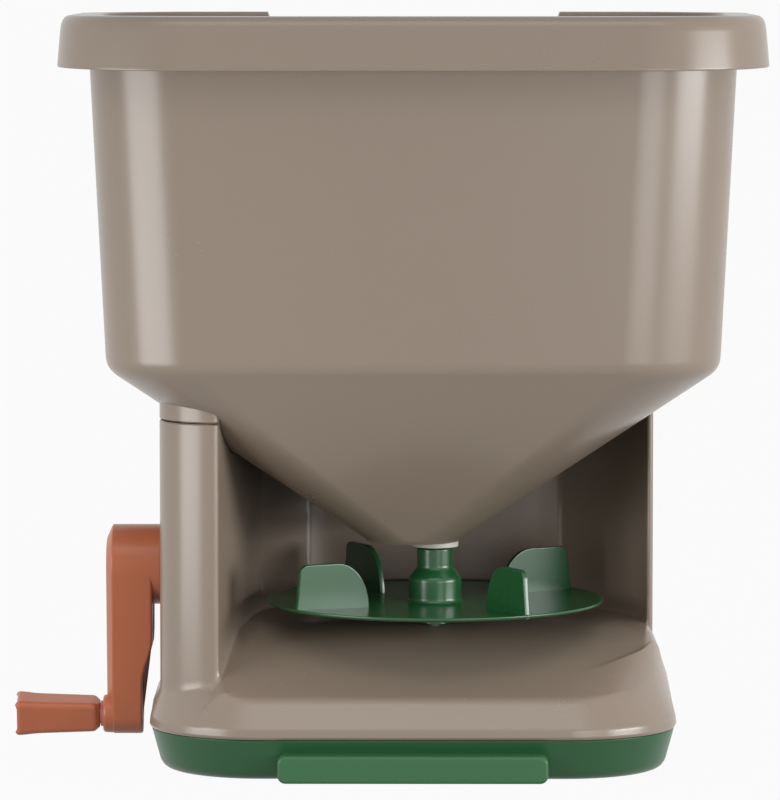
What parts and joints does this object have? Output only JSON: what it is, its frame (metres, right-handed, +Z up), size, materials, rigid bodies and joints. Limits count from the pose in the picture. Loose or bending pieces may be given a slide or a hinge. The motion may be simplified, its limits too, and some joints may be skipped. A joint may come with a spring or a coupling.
{
  "type": "hand crank spreader",
  "caption": "Hand-held seed and granule spreader: open hopper over a geared rotor turned by a side crank, with a sliding flow gate and a rear handle.",
  "frame": {"origin": "on the resting plane, under the middle of the hopper", "axes": "+X to the right of the front view, +Y to the back, +Z up; the crank is on -X"},
  "size_m": [0.2997, 0.2315, 0.297],
  "materials": {
    "taupe_plastic": "satin moulded",
    "base_green": "satin moulded",
    "foot_green": "satin moulded",
    "rotor_green": "semi-gloss moulded",
    "terracotta_plastic": "satin moulded",
    "pale_plastic": "satin moulded",
    "white_plastic": "matt moulded",
    "dark_plastic": "matt moulded",
    "zinc_steel": "zinc plated"
  },
  "bodies": {
    "casing": {"hopper": "taupe_plastic", "housing": "taupe_plastic", "base_cover": "base_green", "front_foot": "foot_green", "bearing_bracket": "dark_plastic", "crank_bush_outer": "white_plastic", "crank_bush_inner": "white_plastic", "lay_bush_left": "white_plastic", "lay_bush_right": "white_plastic", "spinner_bush_upper": "pale_plastic", "spinner_bush_lower": "pale_plastic", "handle_left": "taupe_plastic", "handle_right": "taupe_plastic", "handle_screws": "zinc_steel", "handle_foot_screws": "zinc_steel", "base_screws": "zinc_steel", "bracket_screws": "zinc_steel", "hopper_screws": "zinc_steel"},
    "crank": {"crank_arm": "terracotta_plastic", "crank_shaft": "zinc_steel", "crank_gear": "white_plastic", "crank_screw": "zinc_steel", "crank_washer": "zinc_steel", "crank_clip": "zinc_steel", "grip_pin": "zinc_steel"},
    "grip": {"crank_grip": "terracotta_plastic"},
    "layshaft": {"lay_shaft": "zinc_steel", "lay_pinion": "white_plastic", "lay_bevel": "white_plastic"},
    "spinner": {"spinner_shaft": "zinc_steel", "spinner_bevel": "white_plastic", "rotor": "rotor_green", "rotor_pin": "zinc_steel", "spinner_clip": "zinc_steel", "agitator": "white_plastic"},
    "gate": {"gate_plate": "white_plastic", "gate_knob": "terracotta_plastic", "gate_rivet": "zinc_steel"}
  },
  "joints": [
    {"name": "crank_turn", "type": "hinge", "parent": "casing", "child": "crank", "pos_m": [-0.1, 0, 0.0764], "axis": [1, 0, 0], "continuous": true},
    {"name": "grip_spin", "type": "hinge", "parent": "crank", "child": "grip", "pos_m": [-0.14, 0, 0.016], "axis": [1, 0, 0], "continuous": true},
    {"name": "lay_spin", "type": "hinge", "parent": "casing", "child": "layshaft", "pos_m": [-0.05, -0.01, 0.02333], "axis": [1, 0, 0], "continuous": true},
    {"name": "rotor_spin", "type": "hinge", "parent": "casing", "child": "spinner", "pos_m": [0.0087, -0.01, 0.06], "axis": [0, 0, 1], "continuous": true},
    {"name": "gate_slide", "type": "slide", "parent": "casing", "child": "gate", "axis": [0, 1, 0], "range_m": [0, 0.018]}
  ],
  "couplings": [
    {"joint": "lay_spin", "follows": "crank_turn", "ratio": -3},
    {"joint": "rotor_spin", "follows": "crank_turn", "ratio": -6}
  ]
}
